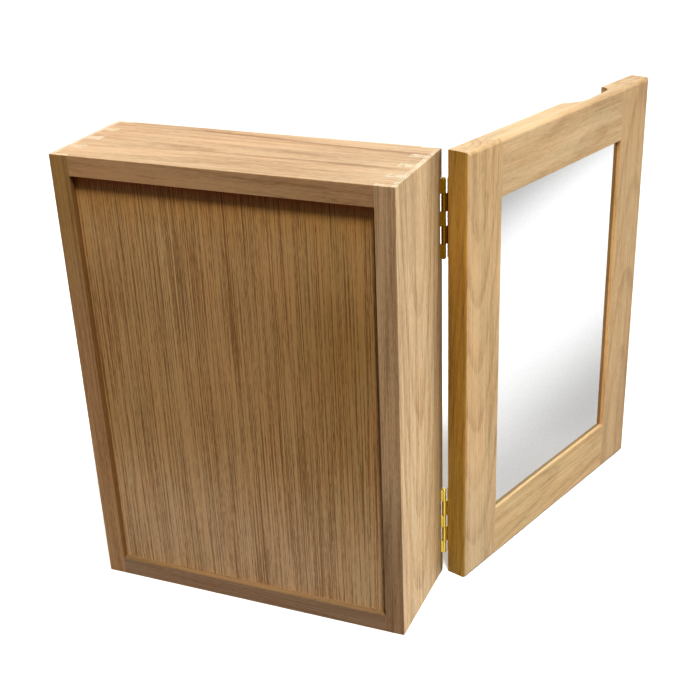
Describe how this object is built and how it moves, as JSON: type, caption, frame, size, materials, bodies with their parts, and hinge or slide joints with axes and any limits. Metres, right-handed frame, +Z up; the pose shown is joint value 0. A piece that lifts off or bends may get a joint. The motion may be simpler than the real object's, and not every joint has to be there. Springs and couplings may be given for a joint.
{
  "type": "medicine cabinet",
  "caption": "Dovetailed teak wall cabinet with a recessed back panel, shelves with rails, and a framed mirror door on brass butt hinges that stands open.",
  "frame": {"origin": "middle of the underside of the case", "axes": "+Z up, -Y towards the open front of the case, +X to the right when the front is faced; the hinges are on the -X side"},
  "size_m": [0.385, 0.3644, 0.381],
  "materials": {
    "case_teak": "satin oiled",
    "teak_veneer": "satin",
    "door_teak": "satin oiled",
    "mirror": "polished",
    "hardboard": "matte",
    "brass": "polished",
    "steel": "satin",
    "catch_plastic": "matte",
    "magnet": "matte"
  },
  "bodies": {
    "case": {"left_side": "case_teak", "right_side": "case_teak", "top_board": "case_teak", "bottom_board": "case_teak", "back_panel": "teak_veneer", "lower_shelf": "case_teak", "upper_shelf": "case_teak", "lower_fiddle_rail": "case_teak", "upper_fiddle_rail": "case_teak", "catch_housing": "catch_plastic", "catch_magnet": "magnet", "catch_pole_plates": "steel", "catch_screws": "steel", "upper_hinge_case_leaf": "brass", "upper_hinge_case_screws": "brass", "upper_hinge_pin": "brass", "lower_hinge_case_leaf": "brass", "lower_hinge_case_screws": "brass", "lower_hinge_pin": "brass"},
    "door": {"door_hinge_stile": "door_teak", "door_free_stile": "door_teak", "door_top_rail": "door_teak", "door_bottom_rail": "door_teak", "mirror_glass": "mirror", "mirror_backing": "hardboard", "top_bead": "door_teak", "bottom_bead": "door_teak", "hinge_side_bead": "door_teak", "free_side_bead": "door_teak", "bead_pins": "steel", "strike_plate": "steel", "strike_screws": "steel", "upper_hinge_door_leaf": "brass", "upper_hinge_door_screws": "brass", "lower_hinge_door_leaf": "brass", "lower_hinge_door_screws": "brass"}
  },
  "joints": [
    {"name": "door_swing", "type": "hinge", "parent": "case", "child": "door", "pos_m": [-0.1419, -0.0472, 0.19], "axis": [0, 0, 1], "range_deg": [-72.7, 107.3]}
  ]
}
